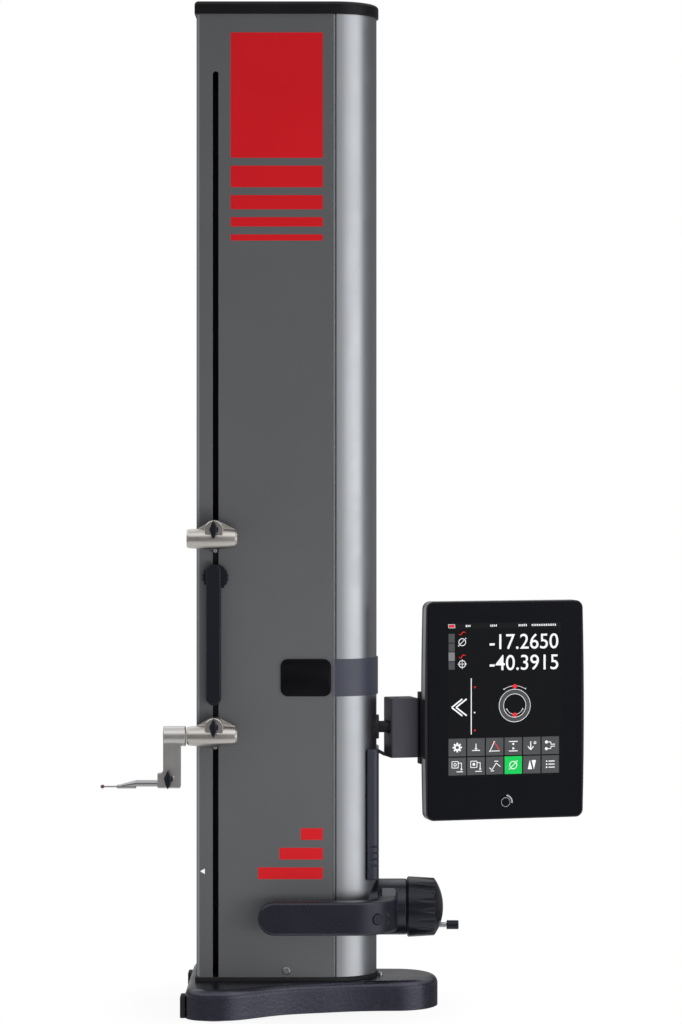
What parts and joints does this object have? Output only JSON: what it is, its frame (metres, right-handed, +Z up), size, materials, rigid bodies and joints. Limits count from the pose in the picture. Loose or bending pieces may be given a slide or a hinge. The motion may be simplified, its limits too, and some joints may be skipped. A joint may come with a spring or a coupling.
{
  "type": "height gauge",
  "caption": "Column height gauge with a crank-driven probe carriage, counterweight drive, three-lobed air-cushion base and a swivelling display.",
  "frame": {"origin": "on the surface that the lapped pads stand on, under the centre of the column", "axes": "+Z up along the column, -X towards the probe, -Y out of the slotted front plate"},
  "size_m": [0.4952, 0.202, 1.032],
  "materials": {
    "cast_black": "hammered enamel",
    "lapped_steel": "lapped",
    "rubber": "matte",
    "extrusion": "satin anodised",
    "plate_grey": "satin lacquer",
    "cap_black": "fine texture",
    "cover_blue": "satin",
    "badge_black": "gloss",
    "handle_black": "satin powder coat",
    "knob_black": "moulded",
    "nickel": "satin nickel",
    "nickel_dark": "satin nickel",
    "steel": "turned",
    "inner_black": "black anodised",
    "alloy": "milled",
    "scale_glass": "polished",
    "ruby": "polished",
    "display_silver": "satin",
    "display_black": "gloss",
    "hinge_grey": "satin",
    "board_green": "lacquered"
  },
  "bodies": {
    "stand": {"base_casting": "cast_black", "base_pads": "lapped_steel", "base_bumpers": "rubber", "foot_gasket": "rubber", "column_profile": "extrusion", "front_plate": "plate_grey", "foot_block": "alloy", "plate_screw": "steel", "top_cap": "cap_black", "badge_band": "cover_blue", "badge_plate": "badge_black", "rear_cover": "cover_blue", "display_flange": "steel", "display_shaft": "steel", "handle_casting": "handle_black", "crank_bearings": "steel", "drive_belt": "rubber", "pulley_brackets": "alloy", "idler_axle": "steel", "guide_rail": "steel", "glass_scale": "scale_glass", "guide_rod": "steel", "battery_pack": "knob_black", "circuit_board": "board_green", "air_pump": "alloy", "display_cable": "rubber"},
    "carriage": {"carriage_frame": "inner_black", "bearing_blocks": "steel", "belt_clamp": "inner_black", "reading_head": "inner_black", "lower_clamp": "nickel", "upper_clamp": "nickel", "clamp_blades": "inner_black", "blade_screws": "steel", "cover_bar": "knob_black", "bar_posts": "steel"},
    "lower_knob": {"lower_clamp_knob": "knob_black"},
    "upper_knob": {"upper_clamp_knob": "knob_black"},
    "setting_wheel": {"setting_wheel": "knob_black"},
    "probe_holder": {"probe_holder": "nickel_dark"},
    "holder_knob": {"holder_knob": "knob_black"},
    "stylus": {"stylus_sleeve": "nickel", "stylus_stem": "steel", "ruby_ball": "ruby"},
    "counterweight": {"counterweight": "steel"},
    "idler": {"idler_pulley": "alloy"},
    "crank": {"drive_pulley": "alloy", "crank_knob": "knob_black", "crank_shaft": "steel", "crank_pin": "steel"},
    "crank_grip": {"crank_grip": "knob_black"},
    "grip_button": {"grip_button": "knob_black"},
    "display_arm": {"hinge_block": "hinge_grey", "swivel_pin": "steel", "tilt_pin": "steel"},
    "display": {"display_shell": "display_silver", "display_glass": "display_black", "display_bracket": "knob_black"},
    "power_button": {"power_button": "display_black"}
  },
  "joints": [
    {"name": "carriage_slide", "type": "slide", "parent": "stand", "child": "carriage", "axis": [0, 0, 1], "range_m": [-0.231, 0.473]},
    {"name": "counterweight_slide", "type": "slide", "parent": "stand", "child": "counterweight", "axis": [0, 0, 1], "range_m": [-0.474, 0.232]},
    {"name": "crank_turn", "type": "hinge", "parent": "stand", "child": "crank", "pos_m": [0.1, 0, 0.102], "axis": [1, 0, 0], "range_deg": [-1808, 884]},
    {"name": "idler_turn", "type": "hinge", "parent": "stand", "child": "idler", "pos_m": [-0.033, 0, 0.99], "axis": [1, 0, 0], "range_deg": [-1808, 884]},
    {"name": "crank_grip_spin", "type": "hinge", "parent": "crank", "child": "crank_grip", "pos_m": [0.17, 0, 0.0832], "axis": [1, 0, 0], "continuous": true},
    {"name": "lower_clamp_turn", "type": "hinge", "parent": "carriage", "child": "lower_knob", "pos_m": [-0.0727, -0.08, 0.2934], "axis": [0, -1, 0], "range_deg": [0, 180]},
    {"name": "upper_clamp_turn", "type": "hinge", "parent": "carriage", "child": "upper_knob", "pos_m": [-0.0727, -0.08, 0.4934], "axis": [0, -1, 0], "range_deg": [0, 180]},
    {"name": "setting_wheel_turn", "type": "hinge", "parent": "carriage", "child": "setting_wheel", "pos_m": [-0.0724, -0.047, 0.444], "axis": [0, -1, 0], "continuous": true},
    {"name": "probe_holder_slide", "type": "slide", "parent": "carriage", "child": "probe_holder", "axis": [-1, 0, 0], "range_m": [0, 0.03]},
    {"name": "holder_knob_turn", "type": "hinge", "parent": "probe_holder", "child": "holder_knob", "pos_m": [-0.1186, -0.08, 0.2414], "axis": [0, -1, 0], "range_deg": [0, 180]},
    {"name": "stylus_slide", "type": "slide", "parent": "probe_holder", "child": "stylus", "axis": [-1, 0, 0], "range_m": [0, 0.012]},
    {"name": "display_swivel", "type": "hinge", "parent": "stand", "child": "display_arm", "pos_m": [0.112, 0, 0.288], "axis": [0, 0, 1], "range_deg": [-25, 20], "deforming": ["display_cable"]},
    {"name": "display_tilt", "type": "hinge", "parent": "display_arm", "child": "display", "pos_m": [0.112, 0, 0.288], "axis": [0.9659, 0.2588, 0], "range_deg": [-30, 15]},
    {"name": "power_button_press", "type": "slide", "parent": "display", "child": "power_button", "axis": [-0.2588, 0.9659, 0], "range_m": [0, 0.001], "stiffness_N_per_m": 400, "springref_m": -0.001},
    {"name": "grip_button_press", "type": "slide", "parent": "stand", "child": "grip_button", "axis": [-0.5299, 0.848, 0], "range_m": [0, 0.001], "stiffness_N_per_m": 500, "springref_m": -0.001}
  ],
  "couplings": [
    {"joint": "counterweight_slide", "follows": "carriage_slide", "ratio": -1},
    {"joint": "crank_turn", "follows": "carriage_slide", "rad_per_m": -66.667},
    {"joint": "idler_turn", "follows": "carriage_slide", "rad_per_m": -66.667}
  ]
}
